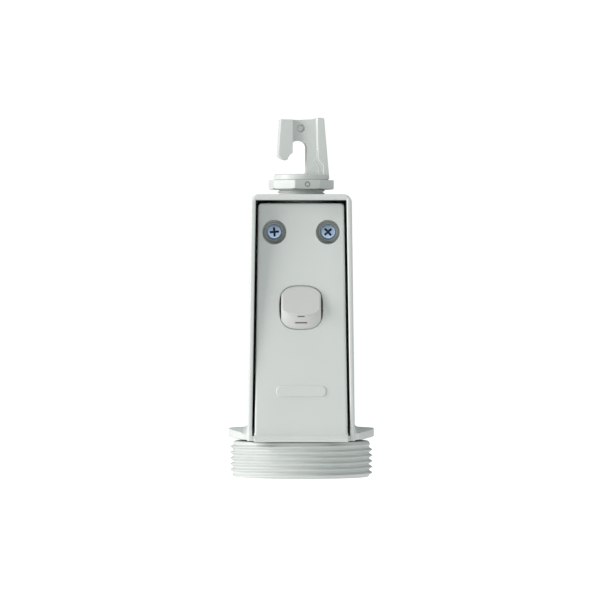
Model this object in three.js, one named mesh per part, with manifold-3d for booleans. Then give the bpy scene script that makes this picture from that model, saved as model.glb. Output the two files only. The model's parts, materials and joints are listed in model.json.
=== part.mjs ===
// Pendant switched socket outlet: a tapered moulded housing that hangs from a hook,
// with a rocker switch in its tilted front plate and a threaded collar round a
// three-pin socket at its foot. Millimetres, +Z up, the front faces -Y, and the
// origin is on the collar's axis, in the plane of its bottom rim.
import * as THREE from "three";
import { mergeVertices } from "three/addons/utils/BufferGeometryUtils.js";
import Module from "manifold-3d";

const wasm = await Module();
wasm.setup();

// ---------------------------------------------------------------- driving dimensions
const GAP = 0.3; // between neighbours that don't need to touch
const RUNNING = 0.1; // radial clearance of a turning fit
const SEATING = 0.05; // under a screw head that stands in a tilted frame

const COLLAR = { height: 19, crest: 37.5, root: 35.9, bore: 33, webBottom: 14, pitch: 3 };
const THREAD_TURNS = 5.7;
const THREAD_START = { angle: 135, z: 0.4 };
const GASKET = { inner: 24.3, outer: 33, top: 19.8 };
const FLANGE = { radius: 38.35, top: 25.7, seat: 33, under: 21.1 };
const HOUSING = { top: 148, front: -34.4, back: 26, wall: 2.5, foot: 27.96, head: 26.3 };
const OPENING = { foot: 25.5, head: 23.6, top: 145 };
const PLATE = { foot: 24.15, head: 22.3, top: 143.9, thick: 2.6, tiltDeg: 4.47, faceAtZero: -37.72 };
const LIP = { half: 24.4, front: -38.35, back: -33.6, bottom: 19.3, top: 21.3 };
const LIP_TAB = { half: 25.3, front: -35.2, bottom: 19.8, top: 22.4 };
const PLATE_SCREW = { x: 14, z: 128.5, head: 3.8, seat: -22.6, length: 13 };
const PLATE_BOSS = { radius: 7.2, back: -20 };
const PLATE_INSERT = { radius: 3.2, front: -19.7, back: -11.7 };
const HOLE = { halfWide: 11.35, halfHigh: 11.55, power: 2.9, land: 0.3 };
const ROCKER = { z: 89.37, depth: 11.8, half: 10.6, faceHalf: 9.65, face: 14.6, restDeg: -13 };
const ROCKER_SWING = 13;
const BAR = { below: 9.5, restDeg: 6, half: 12.5 };
const SWITCH = { half: 13.2, high: 18.2, front: 2.9, back: 28, floor: 25.8 };
const SPIGOT = { crest: 12.45, root: 11.4, bore: 9, bottom: 140.5, threadBottom: 144.6, pitch: 1.5 };
const NUT = { acrossFlats: 32.4, bottom: 151.2, top: 156, turnDeg: 12 };
const HOOK = { flange: 14.4, flangeBottom: 156.4, flangeTop: 159.1, front: -7.5, back: 1.5, turnDeg: 8 };
const HOOK_OUTLINE = [
  [1.3, 158], [9.5, 158], [9.5, 156.6], [14, 156.6], [11.2, 188.6], [7.5, 188.8], [3.9, 187.8],
  [-11.7, 187.9], [-13, 168.6, 0.8], [-8.3, 166.4, 0.4], [-7.7, 168.1], [-5.5, 170.4],
  [-5.5, 175.6, 2], [-2.3, 176.6, 3], [2.3, 175.2, 3.4], [2.3, 163],
];
const HOOK_CHANNEL = [[-5.5, 190], [-5.5, 150], [10.7, 150], [10.7, 163.5], [7.9, 167.2], [7.4, 190]];
const HOOK_WEB_FRONT = -4.6;
const CORD_HOLE = [[1.2, -4.9], [1.2, 4.9], [-6.2, 4.9], [-8.2, 3.1], [-8.2, -3.1], [-6.2, -4.9]];
const INSERT = { face: 7, radius: 22.5, flange: 26.7, flangeBottom: 16.2, neck: 23, top: 33 };
const COLLAR_SCREW = { circle: 29.2, head: 3.2, shank: 1.6, top: 31 };
const PIN_SLOT = { circle: 7.92, earth: 10.31, wide: 7, earthWide: 9.8, thick: 2.2 };

const degrees = THREE.MathUtils.degToRad;
const plateTilt = new THREE.Matrix4()
  .makeRotationX(-degrees(PLATE.tiltDeg))
  .setPosition(0, PLATE.faceAtZero, 0);

// ---------------------------------------------------------------- solids and booleans
function solidOf(geometry) {
  const loose = geometry.index ? geometry.toNonIndexed() : geometry;
  const bare = new THREE.BufferGeometry();
  bare.setAttribute("position", loose.getAttribute("position"));
  const merged = mergeVertices(bare, 1e-4);
  const triVerts = new Uint32Array(merged.index.array);
  const vertProperties = merged.attributes.position.array;
  const made = new wasm.Manifold(new wasm.Mesh({ numProp: 3, vertProperties, triVerts }));
  if (made.volume() >= 0) return made;
  for (let i = 0; i < triVerts.length; i += 3) {
    [triVerts[i + 1], triVerts[i + 2]] = [triVerts[i + 2], triVerts[i + 1]];
  }
  return new wasm.Manifold(new wasm.Mesh({ numProp: 3, vertProperties, triVerts }));
}

function geometryOf(solid) {
  const mesh = solid.getMesh();
  const geometry = new THREE.BufferGeometry();
  geometry.setAttribute("position", new THREE.BufferAttribute(mesh.vertProperties, 3));
  geometry.setIndex(new THREE.BufferAttribute(mesh.triVerts, 1));
  geometry.computeVertexNormals();
  return geometry;
}

const fuse = (...pieces) =>
  geometryOf(pieces.map(solidOf).reduce((whole, next) => whole.add(next)));
const cut = (piece, ...tools) =>
  geometryOf(tools.map(solidOf).reduce((whole, next) => whole.subtract(next), solidOf(piece)));
const shared = (first, second) => geometryOf(solidOf(first).intersect(solidOf(second)));
const faceOut = (geometry) => geometryOf(solidOf(geometry));

// ---------------------------------------------------------------- basic shapes
function box(x0, x1, y0, y1, z0, z1) {
  const block = new THREE.BoxGeometry(x1 - x0, y1 - y0, z1 - z0);
  return block.translate((x0 + x1) / 2, (y0 + y1) / 2, (z0 + z1) / 2);
}

// A round bar, or a cone when its end radius differs, between two points.
function rod(radius, from, to, sides = 16, endRadius = radius) {
  const start = new THREE.Vector3(...from);
  const along = new THREE.Vector3(...to).sub(start);
  const bar = new THREE.CylinderGeometry(endRadius, radius, along.length(), sides);
  const turn = new THREE.Quaternion().setFromUnitVectors(
    new THREE.Vector3(0, 1, 0),
    along.clone().normalize(),
  );
  bar.applyQuaternion(turn);
  return bar.translate(...start.addScaledVector(along, 0.5).toArray());
}

// A body turned about Z from [radius, z] points.
function turned(profile, sides = 48) {
  const points = profile.map(([radius, z]) => new THREE.Vector2(radius, z));
  return faceOut(new THREE.LatheGeometry(points, sides).rotateX(Math.PI / 2));
}

const ring = (inner, outer, z0, z1, sides) =>
  turned([[inner, z0], [outer, z0], [outer, z1], [inner, z1], [inner, z0]], sides);

// An outline from [x, y, corner radius] points; a corner without a radius stays sharp.
function outline(corners, steps = 5) {
  const points = [];
  corners.forEach(([x, y, radius = 0], i) => {
    const corner = new THREE.Vector2(x, y);
    if (!radius) {
      points.push(corner);
      return;
    }
    const before = corners[(i + corners.length - 1) % corners.length];
    const after = corners[(i + 1) % corners.length];
    const back = new THREE.Vector2(before[0], before[1]).sub(corner).normalize();
    const ahead = new THREE.Vector2(after[0], after[1]).sub(corner).normalize();
    const halfAngle = Math.acos(back.dot(ahead)) / 2;
    const reach = radius / Math.tan(halfAngle);
    const middle = back.clone().add(ahead).normalize().multiplyScalar(radius / Math.sin(halfAngle));
    const centre = corner.clone().add(middle);
    const start = corner.clone().addScaledVector(back, reach).sub(centre);
    const end = corner.clone().addScaledVector(ahead, reach).sub(centre);
    const sweep = Math.atan2(start.cross(end), start.dot(end));
    for (let step = 0; step <= steps; step += 1) {
      const spoke = start.clone().rotateAround(new THREE.Vector2(), (sweep * step) / steps);
      points.push(spoke.add(centre));
    }
  });
  return new THREE.Shape(points);
}

// An outline in X and Z, extruded along Y.
function prismY(shape, y0, y1) {
  const solid = new THREE.ExtrudeGeometry(shape, { depth: y1 - y0, bevelEnabled: false });
  return solid.rotateX(Math.PI / 2).translate(0, y1, 0);
}

// An outline in X and Y, extruded along Z.
const prismZ = (shape, z0, z1) =>
  new THREE.ExtrudeGeometry(shape, { depth: z1 - z0, bevelEnabled: false }).translate(0, 0, z0);

// An outline in Y and Z, extruded along X.
function prismX(shape, x0, x1) {
  const solid = new THREE.ExtrudeGeometry(shape, { depth: x1 - x0, bevelEnabled: false });
  const cycle = new THREE.Matrix4().set(0, 0, 1, x0, 1, 0, 0, 0, 0, 1, 0, 0, 0, 0, 0, 1);
  return solid.applyMatrix4(cycle);
}

// A skin over rings of equal point counts, closed at both ends by a fan.
function loft(rings) {
  const count = rings[0].length;
  const points = rings.flat();
  const faces = [];
  for (let r = 0; r + 1 < rings.length; r += 1) {
    for (let i = 0; i < count; i += 1) {
      const a = r * count + i;
      const b = r * count + ((i + 1) % count);
      faces.push(a, b, b + count, a, b + count, a + count);
    }
  }
  [0, rings.length - 1].forEach((r) => {
    const middle = new THREE.Vector3();
    rings[r].forEach((point) => middle.addScaledVector(point, 1 / count));
    const hub = points.push(middle) - 1;
    for (let i = 0; i < count; i += 1) {
      const a = r * count + i;
      const b = r * count + ((i + 1) % count);
      faces.push(...(r === 0 ? [hub, b, a] : [hub, a, b]));
    }
  });
  const skin = new THREE.BufferGeometry().setFromPoints(points);
  skin.setIndex(faces);
  return faceOut(skin);
}

// A right-hand thread ridge about Z whose height fades in and out over half a turn.
function threadRidge({ root, crest, pitch, z, angle, turns, steps }) {
  const rings = [];
  const total = Math.round(turns * steps);
  for (let step = 0; step <= total; step += 1) {
    const turn = step / steps;
    const fade = Math.min(1, 0.05 + 2 * turn, 0.05 + 2 * (turns - turn));
    const theta = degrees(angle) + 2 * Math.PI * turn;
    const height = z + pitch * turn;
    const sunk = root - 0.3;
    const tip = root + (crest - root) * fade;
    const section = [[sunk, -0.44], [tip, -0.08], [tip, 0.08], [sunk, 0.44]];
    rings.push(section.map(([radius, offset]) => new THREE.Vector3(
      radius * Math.cos(theta),
      radius * Math.sin(theta),
      height + offset * pitch,
    )));
  }
  return loft(rings);
}

// A pan-head screw driven from its seat: two slots make a crossed recess, one a plain slot.
function screw({ seat, into, head, shank, length, turnDeg = 0, thick = 2.3, slots = 2 }) {
  const dome = turned([[0, 0], [head, 0], [head, thick * 0.55], [head * 0.72, thick], [0, thick]], 14);
  const body = fuse(dome, rod(shank, [0, 0, -length], [0, 0, thick * 0.3], 8));
  const arm = head * 0.57;
  const recess = Array.from({ length: slots }, (_, i) =>
    box(-arm, arm, -0.45, 0.45, thick * 0.4, thick + 1).rotateZ(degrees(90 * i + turnDeg)));
  const made = cut(body, ...recess);
  const quaternion = new THREE.Quaternion().setFromUnitVectors(
    new THREE.Vector3(0, 0, -1),
    new THREE.Vector3(...into),
  );
  return made.applyQuaternion(quaternion).translate(...seat);
}

// ---------------------------------------------------------------- finishes
const finish = (color, roughness, metalness) =>
  new THREE.MeshStandardMaterial({ color, roughness, metalness });
const FINISHES = {
  shell: finish(0xc9cec9, 0.42, 0),
  inner: finish(0xd9d6c8, 0.6, 0),
  zinc: finish(0xa9b4c8, 0.32, 1),
  brass: finish(0xc9a04a, 0.35, 1),
  rubber: finish(0x2f2724, 0.85, 0),
  spring: finish(0x9a9da3, 0.3, 1),
  wire: finish(0x8a3b2a, 0.5, 0),
};

const outlet = new THREE.Group();

function place(name, geometry, finishName, parent = outlet) {
  const mesh = new THREE.Mesh(geometry, FINISHES[finishName]);
  mesh.name = name;
  parent.add(mesh);
  return mesh;
}

// ---------------------------------------------------------------- housing and plate
const alongHeight = (foot, head, z) =>
  THREE.MathUtils.mapLinear(z, FLANGE.top, HOUSING.top, foot, head);
const bodyHalfAt = (z) => alongHeight(HOUSING.foot, HOUSING.head, z);
const openingHalfAt = (z) => alongHeight(OPENING.foot, OPENING.head, z);
const boltPlaces = [45, 135, 225, 315].map((turn) => [
  COLLAR_SCREW.circle * Math.cos(degrees(turn)),
  COLLAR_SCREW.circle * Math.sin(degrees(turn)),
]);
const CLAMP = { x: 9.5, z: 114, post: 3.4, front: 5.7, barFront: 2.4 };

function housingShell() {
  const foot = GASKET.top;
  const head = HOUSING.top;
  const fromFront = outline([
    [-bodyHalfAt(foot), foot],
    [bodyHalfAt(foot), foot],
    [bodyHalfAt(head), head, 4.4],
    [-bodyHalfAt(head), head, 4.4],
  ]);
  const fromSide = outline([
    [HOUSING.front, foot],
    [HOUSING.back, foot],
    [HOUSING.back - 1.4, head, 4],
    [HOUSING.front, head, 1.2],
  ]);
  // Its plan tapers upwards, and only the two back corners are rounded.
  const planAt = (z) => {
    const half = bodyHalfAt(z);
    const back = HOUSING.back;
    return outline([[-half, HOUSING.front], [half, HOUSING.front], [half, back, 5], [-half, back, 5]])
      .getPoints()
      .map(({ x, y }) => new THREE.Vector3(x, y, z));
  };
  const tube = shared(
    loft([planAt(foot), planAt(head)]),
    shared(
      prismY(fromFront, HOUSING.front - 1, HOUSING.back + 1),
      prismX(fromSide, -HOUSING.foot - 1, HOUSING.foot + 1),
    ),
  );
  const ears = turned([
    [0, foot], [FLANGE.seat, foot], [FLANGE.radius - 0.6, FLANGE.under], [FLANGE.radius, FLANGE.under + 0.5],
    [FLANGE.radius, FLANGE.top - 0.6], [FLANGE.radius - 0.6, FLANGE.top], [0, FLANGE.top],
  ], 48);
  const top = OPENING.top;
  const hollow = shared(
    prismY(outline([
      [-openingHalfAt(FLANGE.top), FLANGE.top],
      [openingHalfAt(FLANGE.top), FLANGE.top],
      [openingHalfAt(top), top],
      [-openingHalfAt(top), top],
    ]), HOUSING.front - 2, HOUSING.back),
    prismX(outline([
      [HOUSING.front - 2, FLANGE.top],
      [HOUSING.back - HOUSING.wall, FLANGE.top],
      [HOUSING.back - HOUSING.wall - 1.4, top, 3],
      [HOUSING.front - 2, top],
    ]), -HOUSING.foot, HOUSING.foot),
  );
  const plateRebate = box(-25.5, 25.5, -40, -32.8, foot - 1, FLANGE.top + 1);
  return cut(fuse(tube, ears), hollow, plateRebate);
}

function rearHousing() {
  const rearWall = HOUSING.back - 2;
  const bosses = boltPlaces.map(([x, y]) => rod(4.2, [x, y, FLANGE.top - 1], [x, y, 34]));
  const screwPillars = [-1, 1].map((side) =>
    rod(
      4.8,
      [side * PLATE_SCREW.x, PLATE_INSERT.front, PLATE_SCREW.z],
      [side * PLATE_SCREW.x, rearWall, PLATE_SCREW.z],
    ));
  const pillarWebs = [-1, 1].map((side) => {
    const [near, far] = side < 0 ? [-24.5, -15] : [15, 24.5];
    return box(near, far, -14, rearWall, PLATE_SCREW.z - 0.9, PLATE_SCREW.z + 0.9);
  });
  const clampPosts = [-1, 1].map((side) =>
    rod(CLAMP.post, [side * CLAMP.x, CLAMP.front, CLAMP.z], [side * CLAMP.x, rearWall, CLAMP.z]));
  const spigotBoss = rod(17, [0, 0, 138.5], [0, 0, 146], 40);
  const solid = fuse(
    housingShell(), ...bosses, ...screwPillars, ...pillarWebs, ...clampPosts, spigotBoss,
  );
  const spigotHole = rod(SPIGOT.crest + RUNNING, [0, 0, 130], [0, 0, 150], 40);
  const socketHole = rod(24, [0, 0, 10], [0, 0, 30], 40);
  const boltHoles = boltPlaces.map(([x, y]) =>
    rod(COLLAR_SCREW.shank + GAP, [x, y, 18], [x, y, COLLAR_SCREW.top + 1], 12));
  const insertHoles = [-1, 1].map((side) => {
    const x = side * PLATE_SCREW.x;
    const floor = PLATE_INSERT.back + GAP;
    return fuse(
      rod(PLATE_INSERT.radius + SEATING, [x, -30, PLATE_SCREW.z], [x, floor, PLATE_SCREW.z]),
      rod(2.1, [x, floor - 1, PLATE_SCREW.z], [x, floor + 4.5, PLATE_SCREW.z], 12),
    );
  });
  const clampHoles = [-1, 1].map((side) =>
    rod(1.75, [side * CLAMP.x, 0, CLAMP.z], [side * CLAMP.x, 16, CLAMP.z], 12));
  return cut(solid, spigotHole, socketHole, ...boltHoles, ...insertHoles, ...clampHoles);
}

// Half height of the rocker's hole at a distance x from its middle.
function holeHalfHigh(x) {
  const left = Math.max(0, 1 - Math.pow(Math.abs(x) / HOLE.halfWide, HOLE.power));
  return HOLE.halfHigh * Math.pow(left, 1 / HOLE.power);
}

// A superellipse ring in the plate's own frame, y deep in it.
function holeRing(grow, y, points = 32) {
  return Array.from({ length: points }, (_, i) => {
    const turn = (2 * Math.PI * i) / points;
    const bend = (value) => Math.sign(value) * Math.pow(Math.abs(value), 2 / HOLE.power);
    return new THREE.Vector3(
      (HOLE.halfWide + grow) * bend(Math.cos(turn)),
      y,
      ROCKER.z + (HOLE.halfHigh + grow) * bend(Math.sin(turn)),
    );
  });
}

const SWITCH_EAR = { reach: 21.5, front: 10.3, back: 12.9 };

function frontPlate() {
  const foot = LIP.top;
  const slab = prismY(outline([
    [-PLATE.foot, foot], [PLATE.foot, foot], [PLATE.head, PLATE.top, 1.8], [-PLATE.head, PLATE.top, 1.8],
  ]), 0, PLATE.thick);
  const skirts = [-1, 1].map((side) => prismY(outline([
    [side * PLATE.foot, foot + 6], [side * PLATE.head, PLATE.top - 4],
    [side * (PLATE.head - 1.5), PLATE.top - 4], [side * (PLATE.foot - 1.5), foot + 6],
  ]), PLATE.thick - 0.5, 7.5));
  const badge = prismY(outline([[-13, 43, 2], [13, 43, 2], [13, 48.5, 2], [-13, 48.5, 2]]), -0.5, 0.5);
  const switchBosses = [-1, 1].map((side) => {
    const z = ROCKER.z + side * SWITCH_EAR.reach;
    return rod(3.2, [0, PLATE.thick - 0.5, z], [0, SWITCH_EAR.front - GAP, z], 16);
  });
  const hole = loft([
    holeRing(0, -1), holeRing(0, HOLE.land), holeRing(PLATE.thick + 0.1, PLATE.thick + 0.4),
  ]);
  const pilots = [-1, 1].map((side) => {
    const z = ROCKER.z + side * SWITCH_EAR.reach;
    return rod(1.3, [0, 3.2, z], [0, 12, z], 10);
  });
  const tilted = cut(fuse(slab, ...skirts, badge, ...switchBosses), hole, ...pilots);
  tilted.applyMatrix4(plateTilt);
  const lip = box(-LIP.half, LIP.half, LIP.front, LIP.back, LIP.bottom, LIP.top);
  const neck = box(-PLATE.foot, PLATE.foot, -35.8, LIP.back, LIP.top - 0.5, LIP.top + 1.5);
  const tabs = [-1, 1].map((side) => {
    const [x0, x1] = side < 0 ? [-LIP_TAB.half, -PLATE.foot + 1] : [PLATE.foot - 1, LIP_TAB.half];
    return box(x0, x1, LIP_TAB.front, LIP.back, LIP_TAB.bottom, LIP_TAB.top);
  });
  const seats = [-1, 1].map((side) => {
    const x = side * PLATE_SCREW.x;
    return rod(PLATE_BOSS.radius, [x, -26, PLATE_SCREW.z], [x, PLATE_BOSS.back, PLATE_SCREW.z], 24);
  });
  const sinks = [-1, 1].flatMap((side) => {
    const x = side * PLATE_SCREW.x;
    const z = PLATE_SCREW.z;
    return [
      rod(6.55, [x, -29.2, z], [x, -24.2, z], 24, 5.7),
      rod(4.4, [x, -26, z], [x, PLATE_SCREW.seat, z], 16),
      rod(2.2, [x, -26, z], [x, PLATE_BOSS.back + 1, z], 12),
    ];
  });
  return cut(fuse(tilted, lip, neck, ...tabs, ...seats), ...sinks);
}

// ---------------------------------------------------------------- hook and locknut
function spigot() {
  const { crest, root, bottom, threadBottom, pitch } = SPIGOT;
  const stem = rod(root, [0, 0, bottom], [0, 0, HOOK.flangeBottom + 0.5], 28);
  const ridge = threadRidge({ root, crest, pitch, z: threadBottom, angle: 0, turns: 6.4, steps: 14 });
  return fuse(stem, ridge);
}

function hangerHook() {
  const blade = prismY(outline(HOOK_OUTLINE), HOOK.front, HOOK.back);
  const channel = prismY(outline(HOOK_CHANNEL), HOOK.front - 1, HOOK_WEB_FRONT);
  const crown = cut(blade, shared(channel, box(-20, 20, -20, 20, HOOK.flangeTop, 200)));
  const plate = rod(HOOK.flange, [0, 0, HOOK.flangeBottom], [0, 0, HOOK.flangeTop], 40);
  const bore = rod(SPIGOT.bore, [0, 0, SPIGOT.bottom - 1], [0, 0, HOOK.flangeBottom], 24);
  const cordHole = prismZ(outline(CORD_HOLE), HOOK.flangeBottom - 0.6, HOOK.flangeTop + 1);
  return cut(fuse(crown, plate, spigot()), bore, cordHole);
}

function lockNut() {
  const corner = NUT.acrossFlats / 2 / Math.cos(Math.PI / 8);
  const prism = new THREE.CylinderGeometry(corner, corner, NUT.top - NUT.bottom, 8);
  prism.rotateX(Math.PI / 2).rotateZ(degrees(NUT.turnDeg)).translate(0, 0, (NUT.top + NUT.bottom) / 2);
  const chamfer = turned([
    [0, NUT.bottom], [corner - 1.2, NUT.bottom], [corner + 0.2, NUT.bottom + 0.8],
    [corner + 0.2, NUT.top - 0.2], [corner - 0.2, NUT.top], [0, NUT.top],
  ]);
  const bore = rod(SPIGOT.crest + RUNNING, [0, 0, 148], [0, 0, 160], 40);
  return cut(shared(prism, chamfer), bore);
}

// ---------------------------------------------------------------- collar, gasket, socket
function threadCollar() {
  const { height, root, bore, webBottom } = COLLAR;
  const tube = turned([
    [bore, 0], [root - 0.6, 0], [root, 0.8], [root, height - 1], [root - 1, height],
    [INSERT.flange + 0.1, height], [INSERT.flange + 0.1, INSERT.flangeBottom],
    [INSERT.radius + 0.3, INSERT.flangeBottom], [INSERT.radius + 0.3, webBottom],
    [bore, webBottom], [bore, 0],
  ], 40);
  const ridge = threadRidge({
    root, crest: COLLAR.crest, pitch: COLLAR.pitch, z: THREAD_START.z,
    angle: THREAD_START.angle, turns: THREAD_TURNS, steps: 20,
  });
  const lead = turned([[0, 0.1], [36.4, 0.1], [38, 1.7], [38, height - 0.1], [0, height - 0.1]], 40);
  const holes = boltPlaces.map(([x, y]) =>
    rod(COLLAR_SCREW.shank + GAP, [x, y, 10], [x, y, 22], 12));
  return cut(fuse(tube, shared(ridge, lead)), ...holes);
}

function collarGasket() {
  const holes = boltPlaces.map(([x, y]) =>
    rod(COLLAR_SCREW.shank + GAP, [x, y, 10], [x, y, 22], 12));
  return cut(ring(GASKET.inner, GASKET.outer, COLLAR.height, GASKET.top, 40), ...holes);
}

// Where each pin goes in: its middle, the turn of its long side, and its width.
const pins = {
  active: {
    x: -PIN_SLOT.circle * Math.cos(degrees(30)), y: -PIN_SLOT.circle / 2, turn: -60, wide: PIN_SLOT.wide,
  },
  neutral: {
    x: PIN_SLOT.circle * Math.cos(degrees(30)), y: -PIN_SLOT.circle / 2, turn: 60, wide: PIN_SLOT.wide,
  },
  earth: { x: 0, y: PIN_SLOT.earth, turn: 90, wide: PIN_SLOT.earthWide },
};

function pinBlock({ x, y, turn }, wide, thick, z0, z1) {
  return box(-wide / 2, wide / 2, -thick / 2, thick / 2, z0, z1)
    .rotateZ(degrees(turn))
    .translate(x, y, 0);
}

function socketInsert() {
  const { face, radius, flange, flangeBottom, neck, top } = INSERT;
  const body = turned([
    [0, face], [radius - 1, face], [radius, face + 1], [radius, flangeBottom], [flange, flangeBottom],
    [flange, COLLAR.height], [neck, COLLAR.height], [neck, top], [0, top],
  ]);
  const slots = Object.values(pins).map((pin) => pinBlock(pin, pin.wide, PIN_SLOT.thick, face - 1, 16));
  const pockets = Object.values(pins).map((pin) => pinBlock(pin, pin.wide + 1.8, 5, 13, top + 1));
  return cut(body, ...slots, ...pockets);
}

function pinContact(pin) {
  const wide = pin.wide + 1.2;
  const clip = cut(
    pinBlock(pin, wide, 4.4, 13 + GAP, INSERT.top + 8),
    pinBlock(pin, pin.wide - 0.2, 1.7, 13, 27),
  );
  return cut(clip, rod(1.6, [pin.x, pin.y, INSERT.top + 2], [pin.x, pin.y, INSERT.top + 9], 12));
}

// ---------------------------------------------------------------- switch
function switchBody() {
  const { half, high, front, back, floor } = SWITCH;
  const shell = cut(
    box(-half, half, front, back, -high, high),
    box(-half + 2.25, half - 2.25, front - 1, floor, -high + 1.9, high - 1.9),
  );
  const ears = [-1, 1].map((side) => {
    const [z0, z1] = side < 0 ? [-25, -high + 0.5] : [high - 0.5, 25];
    return box(-4, 4, SWITCH_EAR.front, SWITCH_EAR.back, z0, z1);
  });
  const earHoles = [-1, 1].map((side) =>
    rod(1.7, [0, 8, side * SWITCH_EAR.reach], [0, 16, side * SWITCH_EAR.reach], 12));
  const trunnionBore = rod(1.5 + RUNNING, [-20, ROCKER.depth, 0], [20, ROCKER.depth, 0], 24);
  const bladeSlots = [0, 12].map((z) => box(-3.4, 3.4, floor - 1, back + 1, z - 1.4, z + 1.4));
  return cut(fuse(shell, ...ears), ...earHoles, trunnionBore, ...bladeSlots);
}

// One cross-section of the rocker at x: outwards is -Y here, and z mirrors.
function rockerSection(x) {
  const aside = Math.abs(x);
  const lowered = Math.max(0, (aside - ROCKER.faceHalf) / (ROCKER.half - ROCKER.faceHalf));
  const face = ROCKER.face - 3 * lowered * lowered;
  const edge = holeHalfHigh(x);
  const edgeAngle = Math.atan2(edge, ROCKER.depth);
  const reach = Math.hypot(edge, ROCKER.depth) - 0.45;
  const polar = (angle, radius) => [radius * Math.cos(angle), radius * Math.sin(angle)];
  const shoulder = polar(edgeAngle - degrees(ROCKER_SWING + 1.5), reach);
  shoulder[0] = Math.min(shoulder[0], face - 0.15);
  const skirt = polar(edgeAngle + degrees(ROCKER_SWING + 1), reach);
  const half = [
    [face, Math.max(0.6, shoulder[1] - 0.6)],
    shoulder,
    polar(edgeAngle, reach),
    skirt,
    [skirt[0] - 1.8, skirt[1] - 3],
    [1.5, 5],
  ];
  const mirrored = half.map(([out, z]) => [out, -z]).reverse();
  return [...half, ...mirrored].map(([out, z]) => new THREE.Vector3(x, -out, z));
}

const PLUNGER = { bore: 2.4, boreEnd: -8, bossEnd: 6.5, head: 0.7, tip: 8.3 };

function rocker() {
  const stations = [10.6, 10.2, 9.65, 8.4, 6, 3];
  const across = [...stations.map((x) => -x), 0, ...stations.reverse()];
  const paddle = loft(across.map(rockerSection));
  const trunnions = rod(1.5, [-12.6, 0, 0], [12.6, 0, 0], 24);
  const boss = rod(4.2, [0, -6, 0], [0, PLUNGER.bossEnd, 0]);
  const bore = rod(PLUNGER.bore, [0, PLUNGER.boreEnd, 0], [0, 12, 0], 16);
  return cut(fuse(paddle, trunnions, boss), bore);
}

function plunger() {
  return fuse(
    rod(2.1, [0, PLUNGER.head, 0], [0, PLUNGER.tip - 1.4, 0], 16),
    rod(2.1, [0, PLUNGER.tip - 1.41, 0], [0, PLUNGER.tip, 0], 16, 0.9),
  );
}

function plungerSpring() {
  const wire = 0.27;
  const radius = 1.75;
  const turns = 5;
  const steps = 9;
  const from = PLUNGER.boreEnd + wire + 0.1;
  const to = PLUNGER.head - wire - 0.1;
  const rings = Array.from({ length: turns * steps + 1 }, (_, step) => {
    const theta = (2 * Math.PI * step) / steps;
    const y = from + ((to - from) * step) / (turns * steps);
    return [[wire, 0], [0, wire], [-wire, 0], [0, -wire]].map(([out, up]) => new THREE.Vector3(
      (radius + out) * Math.cos(theta),
      y + up,
      (radius + out) * Math.sin(theta),
    ));
  });
  return loft(rings);
}

function contactBar() {
  const strip = box(-3.5, 3.5, -1, 0, -BAR.half, BAR.half);
  return fuse(strip, rod(1.6, [0, -0.2, 12], [0, 0.8, 12], 12));
}

function commonTerminal() {
  return cut(
    fuse(box(-3.1, 3.1, 21.45, 29, -1.1, 1.1), box(-4, 4, 28 + GAP, 37, -4, 4)),
    rod(1.5, [0, 31, 0], [0, 38, 0], 12),
  );
}

function loadTerminal() {
  return cut(
    fuse(
      box(-3.1, 3.1, 24.3, 29, 10.9, 13.1),
      rod(1.8, [0, 23.5, 12], [0, 25, 12], 12),
      box(-4, 4, 28 + GAP, 37, 8, 16),
    ),
    rod(1.5, [0, 31, 12], [0, 38, 12], 12),
  );
}

// ---------------------------------------------------------------- cord clamp and wire
function cordClampBar() {
  const bar = prismY(outline([
    [-14, CLAMP.z - 3.6, 2], [14, CLAMP.z - 3.6, 2], [14, CLAMP.z + 3.6, 2], [-14, CLAMP.z + 3.6, 2],
  ]), CLAMP.barFront, CLAMP.front);
  const saddle = rod(6, [0, CLAMP.front + 4.2, CLAMP.z - 9], [0, CLAMP.front + 4.2, CLAMP.z + 9], 24);
  const holes = [-1, 1].map((side) =>
    rod(1.8, [side * CLAMP.x, 0, CLAMP.z], [side * CLAMP.x, 9, CLAMP.z], 12));
  return cut(bar, saddle, ...holes);
}

function linkWire() {
  const route = new THREE.CatmullRomCurve3([
    new THREE.Vector3(-4.6, 3.6, 97.6), new THREE.Vector3(-9, 4, 97.2), new THREE.Vector3(-15.5, 5.5, 92),
    new THREE.Vector3(-17.5, 7, 80), new THREE.Vector3(-17.5, 7, 62), new THREE.Vector3(-17, 4, 48),
    new THREE.Vector3(-14.5, -1.5, 38.5), new THREE.Vector3(-10.6, -4.6, 37.3),
  ]);
  const section = new THREE.Shape().absarc(0, 0, 1.4, 0, 2 * Math.PI);
  return faceOut(new THREE.ExtrudeGeometry(section, { extrudePath: route, steps: 26, curveSegments: 4 }));
}

// ---------------------------------------------------------------- assembly
place("rear_housing", rearHousing(), "shell");
place("front_plate", frontPlate(), "shell");
place("thread_collar", threadCollar(), "shell");
place("collar_gasket", collarGasket(), "rubber");
place("socket_insert", socketInsert(), "inner");
place("hanger_hook", hangerHook().rotateZ(degrees(HOOK.turnDeg)), "shell");
place("locknut", lockNut(), "shell");

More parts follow.
